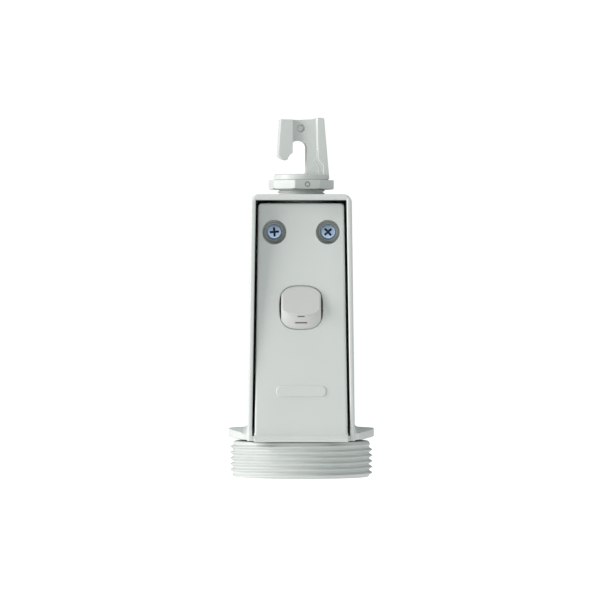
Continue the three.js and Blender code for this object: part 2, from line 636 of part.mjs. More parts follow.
[["left", -1, 5], ["right", 1, 42]].forEach(([side, sign, turnDeg]) => {
  const x = sign * PLATE_SCREW.x;
  place(`plate_screw_${side}`, screw({
    seat: [x, PLATE_SCREW.seat, PLATE_SCREW.z], into: [0, 1, 0], turnDeg,
    head: PLATE_SCREW.head, shank: 1.75, length: PLATE_SCREW.length,
  }), "zinc");
  place(`plate_insert_${side}`, cut(
    rod(PLATE_INSERT.radius, [x, PLATE_INSERT.front, PLATE_SCREW.z], [x, PLATE_INSERT.back, PLATE_SCREW.z]),
    rod(2, [x, PLATE_INSERT.front - 1, PLATE_SCREW.z], [x, PLATE_INSERT.back + 1, PLATE_SCREW.z], 16),
  ), "brass");
  place(`clamp_screw_${side}`, screw({
    seat: [sign * CLAMP.x, CLAMP.barFront, CLAMP.z], into: [0, 1, 0],
    head: 3, shank: 1.45, length: 12,
  }), "zinc");
});
place("cord_clamp_bar", cordClampBar(), "inner");

boltPlaces.forEach(([x, y], i) => {
  place(`collar_screw_${i + 1}`, screw({
    seat: [x, y, COLLAR.webBottom], into: [0, 0, 1],
    head: COLLAR_SCREW.head, shank: COLLAR_SCREW.shank, length: COLLAR_SCREW.top - COLLAR.webBottom,
  }), "zinc");
});

Object.entries(pins).forEach(([name, pin]) => {
  place(`${name}_contact`, pinContact(pin), "brass");
  place(`${name}_contact_screw`, screw({
    seat: [pin.x, pin.y, INSERT.top + 8], into: [0, 0, -1], head: 1.9, shank: 1.3, length: 5, thick: 1.6, slots: 1,
  }), "zinc");
});

// Everything on the plate stands in its tilted frame.
const onPlate = new THREE.Group();
onPlate.position.set(0, PLATE.faceAtZero, 0);
onPlate.rotation.x = -degrees(PLATE.tiltDeg);
outlet.add(onPlate);

const switchGroup = new THREE.Group();
switchGroup.position.z = ROCKER.z;
onPlate.add(switchGroup);
place("switch_body", switchBody(), "inner", switchGroup);
place("common_terminal", commonTerminal(), "brass", switchGroup);
place("load_terminal", loadTerminal(), "brass", switchGroup);
[["common", 0], ["load", 12]].forEach(([name, z]) => {
  place(`${name}_terminal_screw`, screw({
    seat: [0, 37 + SEATING, z], into: [0, -1, 0], head: 2.2, shank: 1.2, length: 5, thick: 1.7, slots: 1,
  }), "zinc", switchGroup);
});
[["lower", -1], ["upper", 1]].forEach(([name, sign]) => {
  place(`switch_screw_${name}`, screw({
    seat: [0, SWITCH_EAR.back + SEATING, sign * SWITCH_EAR.reach], into: [0, -1, 0],
    head: 2.7, shank: 1, length: 8, thick: 1.8,
  }), "zinc", switchGroup);
});

const rockerGroup = new THREE.Group();
rockerGroup.position.y = ROCKER.depth;
rockerGroup.rotation.x = degrees(ROCKER.restDeg);
switchGroup.add(rockerGroup);
place("rocker", rocker(), "shell", rockerGroup);
place("rocker_plunger", plunger(), "inner", rockerGroup);
place("plunger_spring", plungerSpring(), "spring", rockerGroup);

const barGroup = new THREE.Group();
barGroup.position.y = ROCKER.depth + BAR.below;
barGroup.rotation.x = degrees(BAR.restDeg);
switchGroup.add(barGroup);
place("contact_bar", contactBar(), "brass", barGroup);

place("link_wire", linkWire(), "wire");

export default outlet;
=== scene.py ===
"""Pendant switched socket outlet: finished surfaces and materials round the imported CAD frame.

Shapes are made in millimetres and scaled to metres when they are finished. +Z is up and the front faces -Y.
"""

import json
import math

import bmesh
import bpy
from mathutils import Matrix, Vector


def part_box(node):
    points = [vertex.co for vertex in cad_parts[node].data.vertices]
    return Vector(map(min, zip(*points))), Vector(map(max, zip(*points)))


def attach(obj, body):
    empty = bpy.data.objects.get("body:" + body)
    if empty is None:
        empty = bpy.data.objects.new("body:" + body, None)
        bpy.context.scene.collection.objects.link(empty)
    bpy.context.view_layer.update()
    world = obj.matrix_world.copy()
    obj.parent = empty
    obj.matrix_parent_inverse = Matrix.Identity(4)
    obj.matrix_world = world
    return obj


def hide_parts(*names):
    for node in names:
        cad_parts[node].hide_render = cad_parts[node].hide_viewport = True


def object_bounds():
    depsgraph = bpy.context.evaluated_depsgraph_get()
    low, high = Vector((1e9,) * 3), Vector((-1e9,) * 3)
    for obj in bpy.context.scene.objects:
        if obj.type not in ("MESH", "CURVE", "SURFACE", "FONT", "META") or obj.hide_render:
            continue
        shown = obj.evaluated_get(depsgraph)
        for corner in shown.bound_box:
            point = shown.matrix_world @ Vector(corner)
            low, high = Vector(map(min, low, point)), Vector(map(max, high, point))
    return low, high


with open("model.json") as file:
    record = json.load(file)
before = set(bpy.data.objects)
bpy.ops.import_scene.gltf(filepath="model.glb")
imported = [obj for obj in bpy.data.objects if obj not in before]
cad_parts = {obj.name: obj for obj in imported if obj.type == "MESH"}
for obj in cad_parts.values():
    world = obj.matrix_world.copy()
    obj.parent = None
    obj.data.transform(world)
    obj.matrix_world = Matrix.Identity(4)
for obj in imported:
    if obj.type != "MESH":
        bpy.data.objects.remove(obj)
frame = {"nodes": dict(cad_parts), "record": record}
CAD_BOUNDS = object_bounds()
MM = 0.001


class Box:
    """A CAD node's box in millimetres."""

    def __init__(self, node):
        low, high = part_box(node)
        self.x0, self.y0, self.z0 = (value / MM for value in low)
        self.x1, self.y1, self.z1 = (value / MM for value in high)
        self.middle = Vector(((self.x0 + self.x1) / 2, (self.y0 + self.y1) / 2, (self.z0 + self.z1) / 2))
        self.size = Vector((self.x1 - self.x0, self.y1 - self.y0, self.z1 - self.z0))


# ---------------------------------------------------------------- camera, light and stage
CAMERA = {"distance": 2475, "x": -0.6, "z": 93, "frame_height": 316.0, "sensor": 36}


def add_camera():
    data = bpy.data.cameras.new("camera")
    data.sensor_width = CAMERA["sensor"]
    data.lens = CAMERA["sensor"] * CAMERA["distance"] / CAMERA["frame_height"]
    data.clip_end = 50
    camera = bpy.data.objects.new("camera", data)
    camera.location = Vector((CAMERA["x"], -CAMERA["distance"], CAMERA["z"])) * MM
    camera.rotation_euler = (math.radians(90), 0, 0)
    bpy.context.scene.collection.objects.link(camera)
    bpy.context.scene.camera = camera


def add_area_light(name, azimuth, elevation, distance, size, power, color=(1, 1, 1)):
    """A round softbox aimed at the object's middle; azimuth runs from the front (0) to the right (90)."""
    data = bpy.data.lights.new(name, "AREA")
    data.shape = "DISK"
    data.size = size
    data.energy = power
    data.color = color
    turn, rise = math.radians(azimuth), math.radians(elevation)
    aim = Vector((0, 0, 0.09))
    place = aim + distance * Vector((
        math.sin(turn) * math.cos(rise), -math.cos(turn) * math.cos(rise), math.sin(rise),
    ))
    light = bpy.data.objects.new(name, data)
    light.location = place
    light.rotation_euler = (aim - place).to_track_quat("-Z", "Y").to_euler()
    bpy.context.scene.collection.objects.link(light)


def camera_only(nodes, links, seen, cast):
    """A strength that is `seen` by the camera, while the stage lights the object with `cast`."""
    path = nodes.new("ShaderNodeLightPath")
    strength = nodes.new("ShaderNodeMapRange")
    strength.inputs["To Min"].default_value = cast
    strength.inputs["To Max"].default_value = seen
    links.new(path.outputs["Is Camera Ray"], strength.inputs["Value"])
    return strength.outputs["Result"]


def add_lights():
    add_area_light("key_left", -70, 14, 1.3, 0.8, 17, (1.0, 0.975, 0.965))
    add_area_light("top_soft", 0, 84, 1.1, 0.7, 4, (1.0, 1.0, 0.98))
    add_area_light("fill_right", 52, 8, 1.5, 0.9, 4, (0.97, 1.0, 0.99))
    world = bpy.data.worlds.new("studio")
    world.use_nodes = True
    nodes, links = world.node_tree.nodes, world.node_tree.links
    background = nodes["Background"]
    cool = nodes.new("ShaderNodeMix")
    cool.data_type = "RGBA"
    cool.inputs["A"].default_value = (0.9, 1.0, 0.96, 1)
    cool.inputs["B"].default_value = (1, 1, 1, 1)
    links.new(camera_only(nodes, links, 1, 0), cool.inputs["Factor"])
    links.new(cool.outputs["Result"], background.inputs["Color"])
    links.new(camera_only(nodes, links, 1.05, 0.26), background.inputs["Strength"])
    bpy.context.scene.world = world
    bpy.context.scene.view_settings.view_transform = "Standard"


def add_floor():
    half = 3.0
    level = CAD_BOUNDS[0][2] - 0.0002
    mesh = bpy.data.meshes.new("floor")
    corners = [(-half, -half, level), (half, -half, level), (half, half, level), (-half, half, level)]
    mesh.from_pydata(corners, [], [(0, 1, 2, 3)])
    floor = bpy.data.objects.new("floor", mesh)
    bpy.context.scene.collection.objects.link(floor)
    material, nodes, links, shader = new_material("white_floor")
    shader.inputs["Base Color"].default_value = (0.55, 0.55, 0.55, 1)
    shader.inputs["Emission Color"].default_value = (1, 1, 1, 1)
    shader.inputs["Roughness"].default_value = 0.9
    links.new(camera_only(nodes, links, 0.95, 0.55), shader.inputs["Emission Strength"])
    mesh.materials.append(material)


# ---------------------------------------------------------------- materials
def new_material(name):
    material = bpy.data.materials.new(name)
    material.use_nodes = True
    nodes = material.node_tree.nodes
    links = material.node_tree.links
    return material, nodes, links, nodes["Principled BSDF"]


def noise(nodes, links, scale, detail=3.0, roughness=0.5):
    """Noise in the object's own coordinates; scale is in features per metre."""
    coordinates = nodes.new("ShaderNodeTexCoord")
    texture = nodes.new("ShaderNodeTexNoise")
    texture.inputs["Scale"].default_value = scale
    texture.inputs["Detail"].default_value = detail
    texture.inputs["Roughness"].default_value = roughness
    links.new(coordinates.outputs["Object"], texture.inputs["Vector"])
    return texture.outputs["Fac"]


def spread(nodes, links, value, low, high):
    """Maps noise, which stays near its middle, to the range from low to high."""
    ramp = nodes.new("ShaderNodeMapRange")
    ramp.inputs["From Min"].default_value = 0.3
    ramp.inputs["From Max"].default_value = 0.7
    ramp.inputs["To Min"].default_value = low
    ramp.inputs["To Max"].default_value = high
    links.new(value, ramp.inputs["Value"])
    return ramp.outputs["Result"]


def tint(nodes, links, factor, first, second):
    mix = nodes.new("ShaderNodeMix")
    mix.data_type = "RGBA"
    links.new(factor, mix.inputs["Factor"])
    mix.inputs["A"].default_value = (*first, 1)
    mix.inputs["B"].default_value = (*second, 1)
    return mix.outputs["Result"]


def bump(nodes, links, shader, height, distance, strength=1.0):
    node = nodes.new("ShaderNodeBump")
    node.inputs["Distance"].default_value = distance
    node.inputs["Strength"].default_value = strength
    links.new(height, node.inputs["Height"])
    links.new(node.outputs["Normal"], shader.inputs["Normal"])


def moulded_plastic(name, color, roughness, grain=3500):
    """A thermoplastic moulding: spark-eroded grain, and faint flow clouds in tone and gloss."""
    material, nodes, links, shader = new_material(name)
    clouds = spread(nodes, links, noise(nodes, links, 28, 4), 0, 1)
    darker = tuple(channel * 0.965 for channel in color)
    links.new(tint(nodes, links, clouds, darker, color), shader.inputs["Base Color"])
    sheen = spread(nodes, links, noise(nodes, links, 160, 5), roughness - 0.05, roughness + 0.06)
    links.new(sheen, shader.inputs["Roughness"])
    bump(nodes, links, shader, noise(nodes, links, grain, 4, 0.65), 0.00002)
    shader.inputs["IOR"].default_value = 1.49
    return material


def plated_metal(name, color, second, roughness, grain=1400):
    """Metal whose plating drifts between two tones, with fine scratches."""
    material, nodes, links, shader = new_material(name)
    drift = spread(nodes, links, noise(nodes, links, 420, 4), 0, 1)
    links.new(tint(nodes, links, drift, color, second), shader.inputs["Base Color"])
    shader.inputs["Metallic"].default_value = 1.0
    wear = spread(nodes, links, noise(nodes, links, grain, 6), roughness - 0.08, roughness + 0.12)
    links.new(wear, shader.inputs["Roughness"])
    bump(nodes, links, shader, noise(nodes, links, grain * 3, 3), 0.00001)
    return material


def rubber(name, color):
    material, nodes, links, shader = new_material(name)
    bloom = spread(nodes, links, noise(nodes, links, 300, 5), 0, 1)
    dusty = tuple(channel * 1.6 + 0.004 for channel in color)
    links.new(tint(nodes, links, bloom, color, dusty), shader.inputs["Base Color"])
    shader.inputs["Roughness"].default_value = 0.8
    bump(nodes, links, shader, noise(nodes, links, 2500, 4), 0.00003)
    return material


MATERIALS = {
    "rocker_plastic": moulded_plastic("neutral_grey_moulding", (0.565, 0.572, 0.56), 0.4),
    "print": moulded_plastic("grey_print", (0.16, 0.13, 0.11), 0.6, 6000),
    # painted shade: a near-black zinc tone laid on the screw heads' cross recesses, standing in for the shade
    # inside them
    "recess": plated_metal("painted_recess_shade", (0.03, 0.045, 0.09), (0.07, 0.1, 0.18), 0.45),
    "shell_plastic": moulded_plastic("pale_grey_moulding", (0.612, 0.64, 0.624), 0.42),
    "inner_plastic": moulded_plastic("cream_moulding", (0.66, 0.63, 0.54), 0.5),
    "zinc_screw": plated_metal("blue_zinc", (0.5, 0.66, 0.95), (0.62, 0.74, 0.95), 0.36),
    "brass": plated_metal("stamped_brass", (0.78, 0.56, 0.24), (0.7, 0.46, 0.2), 0.34),
    "gasket_rubber": rubber("gasket_rubber", (0.075, 0.068, 0.06)),
    "spring_steel": plated_metal("spring_wire", (0.55, 0.55, 0.57), (0.4, 0.4, 0.43), 0.3),
    "wire_insulation": moulded_plastic("brown_insulation", (0.2, 0.045, 0.022), 0.34, 900),
}


# ---------------------------------------------------------------- mesh tools, millimetres
def solid(name, points, faces):
    mesh = bpy.data.meshes.new(name)
    mesh.from_pydata([Vector(point) for point in points], [], faces)
    shape = bmesh.new()
    shape.from_mesh(mesh)
    bmesh.ops.remove_doubles(shape, verts=shape.verts, dist=1e-4)
    bmesh.ops.dissolve_degenerate(shape, edges=shape.edges, dist=1e-5)
    bmesh.ops.recalc_face_normals(shape, faces=shape.faces)
    shape.to_mesh(mesh)
    shape.free()
    made = bpy.data.objects.new(name, mesh)
    bpy.context.scene.collection.objects.link(made)
    return made


def loft(rings, name="loft"):
    """A skin over rings of equal point counts, closed at both ends by one face each."""
    count = len(rings[0])
    points = [point for ring in rings for point in ring]
    faces = []
    for row in range(len(rings) - 1):
        for i in range(count):
            a = row * count + i
            b = row * count + (i + 1) % count
            faces.append((a, b, b + count, a + count))
    last = (len(rings) - 1) * count
    faces.append(tuple(range(count - 1, -1, -1)))
    faces.append(tuple(range(last, last + count)))
    return solid(name, points, faces)


def turned(profile, sides=96, name="turned"):
    """A body turned about Z from [radius, z] points; the profile closes on itself or runs axis to axis."""
    spokes = [(math.cos(math.tau * i / sides), math.sin(math.tau * i / sides)) for i in range(sides)]
    points = [(radius * c, radius * s, z) for radius, z in profile for c, s in spokes]
    rows = len(profile)
    closed = profile[0][0] > 0 or profile[-1][0] > 0
    faces = []
    for row in range(rows if closed else rows - 1):
        after = (row + 1) % rows
        for i in range(sides):
            j = (i + 1) % sides
            faces.append((row * sides + i, row * sides + j, after * sides + j, after * sides + i))
    return solid(name, points, faces)


def rod(radius, start, end, sides=32, end_radius=None):
    end_radius = radius if end_radius is None else end_radius
    start, end = Vector(start), Vector(end)
    turn = (end - start).to_track_quat("Z", "Y")
    rings = []
    for centre, size in ((start, radius), (end, end_radius)):
        angles = [math.tau * i / sides for i in range(sides)]
        rings.append([centre + turn @ Vector((size * math.cos(a), size * math.sin(a), 0)) for a in angles])
    return loft(rings)


def block(x0, x1, y0, y1, z0, z1):
    square = [(x0, y0), (x1, y0), (x1, y1), (x0, y1)]
    return loft([[(x, y, z) for x, y in square] for z in (z0, z1)])


def rounded(corners, steps=6):
    """Outline points from (x, y, corner radius) corners."""
    points = []
    for i, (x, y, *radius) in enumerate(corners):
        corner = Vector((x, y))
        if not radius:
            points.append((x, y))
            continue
        back = (Vector(corners[i - 1][:2]) - corner).normalized()
        ahead = (Vector(corners[(i + 1) % len(corners)][:2]) - corner).normalized()
        half = back.angle(ahead) / 2
        centre = corner + (back + ahead).normalized() * (radius[0] / math.sin(half))
        start = corner + back * (radius[0] / math.tan(half)) - centre
        end = corner + ahead * (radius[0] / math.tan(half)) - centre
        sweep = math.atan2(start.x * end.y - start.y * end.x, start.dot(end))
        for step in range(steps + 1):
            points.append(tuple(centre + Matrix.Rotation(sweep * step / steps, 2) @ start))
    return points


def prism(outline, y0, y1):
    """An outline in X and Z, from y0 to y1."""
    return loft([[(x, y, z) for x, z in outline] for y in (y0, y1)])


def apply_modifiers(thing):
    bpy.context.view_layer.update()
    graph = bpy.context.evaluated_depsgraph_get()
    mesh = bpy.data.meshes.new_from_object(thing.evaluated_get(graph))
    thing.modifiers.clear()
    thing.data = mesh
    return thing


def combine(target, tools, operation):
    for tool in tools:
        modifier = target.modifiers.new("boolean", "BOOLEAN")
        modifier.operation = operation
        modifier.solver = "EXACT"
        modifier.object = tool
    apply_modifiers(target)
    for tool in tools:
        bpy.data.objects.remove(tool)
    return target


def fuse(target, *tools):
    return combine(target, tools, "UNION")


def cut(target, *tools):
    return combine(target, tools, "DIFFERENCE")


def soften(target, width, segments=2, angle=40):
    """Rounds every edge sharper than the angle."""
    bevel = target.modifiers.new("bevel", "BEVEL")
    bevel.limit_method = "ANGLE"
    bevel.angle_limit = math.radians(angle)
    bevel.width = width
    bevel.segments = segments
    bevel.miter_outer = "MITER_ARC"
    return apply_modifiers(target)


def move(target, matrix):
    target.data.transform(matrix)
    return target


def finish(piece, name, slot, body, nodes, sharp=35, materials=None):
    """Scales a piece to metres, smooths it, gives it its material and body, and hides the CAD nodes it stands
    in for.
    """
    piece.name = name
    piece.data.name = name
    piece.data.transform(Matrix.Scale(MM, 4))
    indices = [face.material_index for face in piece.data.polygons]
    piece.data.materials.clear()
    for key in materials or [slot]:
        piece.data.materials.append(MATERIALS[key])
    piece.data.polygons.foreach_set("material_index", indices)
    piece.data.shade_smooth()
    piece.data.set_sharp_from_angle(angle=math.radians(sharp))
    weighted = piece.modifiers.new("weighted_normals", "WEIGHTED_NORMAL")
    weighted.keep_sharp = True
    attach(piece, body)
    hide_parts(*nodes)
    return piece


def smooth_max(a, b, soft):
    """The larger of two lengths, with a soft turn where they meet."""
    if soft <= 0:
        return max(a, b)
    near = max(soft - abs(a - b), 0) / soft
    return max(a, b) + near * near * soft / 4


def arc_steps(count):
    """Quarter-circle fractions (run, rise) from (0, 0) to (1, 1)."""
    angles = [math.pi / 2 * i / count for i in range(count + 1)]
    return [(1 - math.cos(angle), math.sin(angle)) for angle in angles]


# ---------------------------------------------------------------- housing
shell_box = Box("rear_housing")
collar_box = Box("thread_collar")
plate_box = Box("front_plate")
nut_box = Box("locknut")
hook_box = Box("hanger_hook")
gasket_box = Box("collar_gasket")
insert_box = Box("socket_insert")
PLATE_SCREWS = [Box(f"plate_screw_{side}") for side in ("left", "right")]
BOLTS = [Box(f"collar_screw_{i}") for i in range(1, 5)]
BOLT_HOLE = 1.9
SPIGOT_HOLE = 12.55
INSERT_LEDGE = insert_box.z0 + 9.2

FLANGE_RADIUS = shell_box.x1
EAR_TOP = 25.7
HOUSING = {
    "foot": 27.96, "head": 26.3, "front": -34.4, "back_foot": 26.0, "back_head": 24.6,
    "front_radius": 1.3, "back_radius": 5.0, "side_round": 4.4, "front_round": 1.3,
}
OPENING = {"foot": 25.5, "head": 23.6, "top": 145.0}
INSERT_FRONT = Box("plate_insert_left").y0


def between(z, foot, head):
    """A draft taper from the ears' top to the housing's top."""
    return foot + (head - foot) * (z - EAR_TOP) / (shell_box.z1 - EAR_TOP)


def body_outline(z, grow=0.0, side_inset=0.0, front_inset=0.0):
    """The housing's section at a height, from the collar's axis; `grow` eases in behind the front."""
    half = between(z, HOUSING["foot"], HOUSING["head"]) - side_inset
    back = between(z, HOUSING["back_foot"], HOUSING["back_head"]) - side_inset
    front = HOUSING["front"] + front_inset
    side_steps, corner_steps, ease_length = 26, 8, 7
    per_corner = corner_steps + 1
    corners = rounded([
        (-half, front, HOUSING["front_radius"]), (half, front, HOUSING["front_radius"]),
        (half, back, HOUSING["back_radius"]), (-half, back, HOUSING["back_radius"]),
    ], corner_steps)
    arcs = [corners[i * per_corner:(i + 1) * per_corner] for i in range(4)]
    points = []
    for i, arc in enumerate(arcs):
        points.extend(Vector(point) for point in arc)
        start, end = Vector(arc[-1]), Vector(arcs[(i + 1) % 4][0])
        points.extend(start.lerp(end, step / side_steps) for step in range(1, side_steps))
    for point in points:
        ease = min(max((point.y - front) / ease_length, 0), 1)
        widened = grow * ease * ease * (3 - 2 * ease) * (abs(point.x) / half) ** 6
        point.x += math.copysign(widened, point.x)
        point.y += grow * (max(point.y, 0) / back) ** 6
    return points


EAR_DROOP = {"most": 2.2, "reach": 26.0, "power": 1.6}


def droop(y):
    """How far the two ears hang down towards the front."""
    if y >= 0:
        return 0.0
    return EAR_DROOP["most"] * (min(-y, EAR_DROOP["reach"]) / EAR_DROOP["reach"]) ** EAR_DROOP["power"]


def ringed(outline, z, disc=0.0, soft=0.0, hang=0.0):
    """Lifts an outline to z, after pushing it out to a disc where the disc is larger."""
    ring = []
    for point in outline:
        place = point.normalized() * smooth_max(point.length, disc, soft)
        ring.append((*place, z - hang * droop(place.y)))
    return ring


def outer_shell():
    foot, top = shell_box.z0, shell_box.z1
    soft, fillet = 2.0, 2.8
    under, lower_round, upper_round = 21.1, 0.55, 0.5
    rings = [ringed(body_outline(foot), foot, 33.4, soft)]
    for run, rise in arc_steps(4):
        z, radius = under + lower_round * run, FLANGE_RADIUS - lower_round * (1 - rise)
        rings.append(ringed(body_outline(foot), z, radius, soft, 0.5))
    for run, rise in arc_steps(6):
        z, radius = EAR_TOP - upper_round * (1 - rise), FLANGE_RADIUS - upper_round * run
        grow = fillet * max(0.0, (z - EAR_TOP + 3) / 3) ** 2
        rings.append(ringed(body_outline(z, grow), z, radius, soft, 1.0))
    for radius in (35.5, 33, 30, 24):
        rings.append(ringed(body_outline(EAR_TOP, fillet), EAR_TOP, radius, soft, 1.0))
    for run, rise in arc_steps(7)[1:]:
        outline = body_outline(EAR_TOP, fillet * (1 - rise))
        rings.append(ringed(outline, EAR_TOP + fillet * run, hang=1.0 - 0.6 * run))
    for share in (0.03, 0.08, 0.25, 0.5, 0.75, 0.9):
        z = EAR_TOP + (top - EAR_TOP) * share
        rings.append(ringed(body_outline(z), z))
    for run, rise in arc_steps(9):
        z = top - HOUSING["side_round"] * (1 - rise)
        side = HOUSING["side_round"] * run
        front_round = HOUSING["front_round"]
        depth = max(0.0, front_round - (top - z))
        front = front_round - math.sqrt(front_round ** 2 - depth ** 2)
        rings.append(ringed(body_outline(z, 0, side, front), z))
    return loft(rings, "housing")


def opening_outline(grow=0.0):
    bottom, top = EAR_TOP, OPENING["top"]
    foot_half = between(bottom, OPENING["foot"], OPENING["head"]) + grow
    head_half = between(top, OPENING["foot"], OPENING["head"]) + grow
    return rounded([
        (-foot_half, bottom), (foot_half, bottom),
        (head_half, top + grow, 0.5), (-head_half, top + grow, 0.5),
    ], 3)


def housing():
    body = outer_shell()
    foot = shell_box.z0
    front, back = HOUSING["front"], HOUSING["back_head"] - 2.4
    hollow = prism(opening_outline(), front - 5, back)
    flare = loft([
        [(x, y, z) for x, z in opening_outline(grow)]
        for y, grow in ((front - 1, 1.55), (front + 0.55, 0.0))
    ])
    rebate = block(-25.5, 25.5, -45, -31.2, foot - 1, EAR_TOP + 1)
    slots = [block(*sorted((side * 23.9, side * 25.5)), -45, -22, 22.4, EAR_TOP + 1) for side in (-1, 1)]
    body = cut(body, hollow, flare, rebate, *slots)
    bosses = [rod(4.2, (b.middle.x, b.middle.y, EAR_TOP - 1), (b.middle.x, b.middle.y, 34)) for b in BOLTS]
    pillars = [
        rod(4.8, (s.middle.x, INSERT_FRONT, s.middle.z), (s.middle.x, back + 1, s.middle.z))
        for s in PLATE_SCREWS
    ]
    spigot_boss = rod(17, (0, 0, 138.5), (0, 0, 146), 64)
    body = fuse(body, *bosses, *pillars, spigot_boss)
    holes = [rod(SPIGOT_HOLE, (0, 0, 130), (0, 0, 150), 96), rod(24, (0, 0, 10), (0, 0, 30), 96)]
    holes += [rod(BOLT_HOLE, (b.middle.x, b.middle.y, 18), (b.middle.x, b.middle.y, 32), 20) for b in BOLTS]
    holes += [
        rod(3.25, (s.middle.x, -30, s.middle.z), (s.middle.x, -11.4, s.middle.z), 24)
        for s in PLATE_SCREWS
    ]
    body = cut(body, *holes)
    return finish(body, "housing_shell", "shell_plastic", "housing", ["rear_housing"], 28)


# ---------------------------------------------------------------- tilted plate
TILT = math.radians(4.47)
PLATE_ORIGIN = Vector((0, -37.72, 0))
TILTED = Matrix.Translation(PLATE_ORIGIN) @ Matrix.Rotation(-TILT, 4, "X")
PLATE = {"foot": 24.15, "head": 22.3, "bottom": 21.6, "top": 143.9, "thick": 2.6, "edge": 1.1, "corner": 1.8}
HOLE = {"wide": 11.35, "high": 11.55, "power": 2.9, "centre": 89.37}
PIVOT = Vector((0, 11.8, HOLE["centre"]))


def plate_outline(inset):
    foot, head = PLATE["foot"] - inset, PLATE["head"] - inset
    top = PLATE["top"] - inset
    radius = max(PLATE["corner"] - inset, 0.3)
    return rounded([
        (-foot, PLATE["bottom"]), (foot, PLATE["bottom"]), (head, top, radius), (-head, top, radius),
    ], 6)


def hole_ring(grow, y, count=96):
    ring = []
    for i in range(count):
        angle = math.tau * i / count
        c, s = math.cos(angle), math.sin(angle)
        x = math.copysign(abs(c) ** (2 / HOLE["power"]), c) * (HOLE["wide"] + grow)
        z = math.copysign(abs(s) ** (2 / HOLE["power"]), s) * (HOLE["high"] + grow)
        ring.append((x, y, HOLE["centre"] + z))
    return ring


def badge():
    """A plain raised bar with rounded ends."""
    rings = []
    low, high, half, rise = 42.9, 48.6, 13.0, 0.5
    for run, up in arc_steps(4):
        inset = 0.45 * run
        outline = rounded([
            (-half + inset, low + inset, 2.5 - inset), (half - inset, low + inset, 2.5 - inset),
            (half - inset, high - inset, 2.5 - inset), (-half + inset, high - inset, 2.5 - inset),
        ], 8)
        rings.append([(x, -rise * up, z) for x, z in outline])
    base = [(x, 0.6, z) for x, _, z in rings[0]]
    return loft([base, *rings])


def plate():
    edge, thick = PLATE["edge"], PLATE["thick"]
    rings = [
        [(x, edge * step / 6, z)
         for x, z in plate_outline(edge - math.sqrt(edge ** 2 - (edge - edge * step / 6) ** 2))]
        for step in range(7)
    ]
    rings.append([(x, thick, z) for x, z in plate_outline(0)])
    slab = loft(rings)
    skirts = []
    for side in (-1, 1):
        foot, head, low, high = side * PLATE["foot"], side * PLATE["head"], 28, PLATE["top"] - 4
        inner = side * 1.5
        skirt = [(foot, low), (head, high), (head - inner, high), (foot - inner, low)]
        skirts.append(prism(skirt, thick - 0.5, 7.5))
    bosses = [
        rod(3.2, (0, thick - 0.5, PIVOT.z + side * 21.5), (0, 10.0, PIVOT.z + side * 21.5))
        for side in (-1, 1)
    ]
    slab = fuse(slab, badge(), *skirts, *bosses)
    round_over = 0.35
    hole_rings = [hole_ring(round_over + 0.1, -0.8)]
    hole_rings += [hole_ring(round_over * (1 - rise), round_over * run - 0.001) for run, rise in arc_steps(4)]
    hole_rings.append(hole_ring(thick + 0.1, thick + 0.45))
    slab = cut(slab, loft(hole_rings))
    move(slab, TILTED)
    slab = fuse(slab, lip())
    seat, boss_back = INSERT_FRONT - 2.9, INSERT_FRONT - 0.3
    backs = [
        rod(7.2, (s.middle.x, seat - 3, s.middle.z), (s.middle.x, boss_back, s.middle.z), 48)
        for s in PLATE_SCREWS
    ]
    slab = fuse(slab, *backs)
    groove = [
        (0, -32), (6.8, -32), (6.6, -27.9), (6.35, -27.3),
        (5.9, -21.7), (4.7, -21.6), (4.55, -24.5), (0, -24.5),
    ]
    bore = [(0, -26), (4.4, -26), (4.4, seat), (2.2, seat), (2.2, boss_back + 1), (0, boss_back + 1)]
    slab = cut(slab, *[
        turned_y(profile, s.middle.x, s.middle.z) for s in PLATE_SCREWS for profile in (groove, bore)
    ])
    return finish(slab, "tilted_plate", "shell_plastic", "housing", ["front_plate"], 30)


def turned_y(profile, x, z, sides=64):
    """A body turned about a line along Y from (radius, y) points."""
    made = turned(profile, sides)
    return move(made, Matrix.Translation((x, 0, z)) @ Matrix.Rotation(math.radians(-90), 4, "X"))


def lip():
    """The plate's foot: a ramp out to the lip that covers the flange's notch, with a tab at each corner."""
    front, back, low = plate_box.y0, -33.6, plate_box.z0
    profile = rounded([
        (back, low), (front, low, 0.25), (front, low + 1.95, 0.5), (-35.95, low + 3.25, 0.8),
        (-35.2, low + 4.6), (back, low + 4.6),
    ], 4)
    half = PLATE["foot"] + 0.1
    rings = []
    for x, inset in ((-half - 0.15, 0.25), (-half + 0.1, 0.0), (half - 0.1, 0.0), (half + 0.15, 0.25)):
        rings.append([(x, y + inset if y < -34.5 else y, z) for y, z in profile])
    bar = loft(rings)
    tabs = []
    for sign in (-1, 1):
        x0, x1 = sorted((sign * (half - 1), sign * plate_box.x1))
        tabs.append(soften(block(x0, x1, -36.2, back, low + 0.4, low + 3.1), 0.25))
    return fuse(bar, *tabs)


# ---------------------------------------------------------------- rocker
ROCKER = {"half": 10.42, "face_half": 9.5, "face": 14.6, "rest": -13.0, "swing": 13.0, "gap": 0.5}
ROCKER_PLACE = TILTED @ Matrix.Translation(PIVOT) @ Matrix.Rotation(math.radians(ROCKER["rest"]), 4, "X")


def hole_half_high(x):
    share = min(abs(x) / HOLE["wide"], 1)
    return HOLE["high"] * (1 - share ** HOLE["power"]) ** (1 / HOLE["power"])


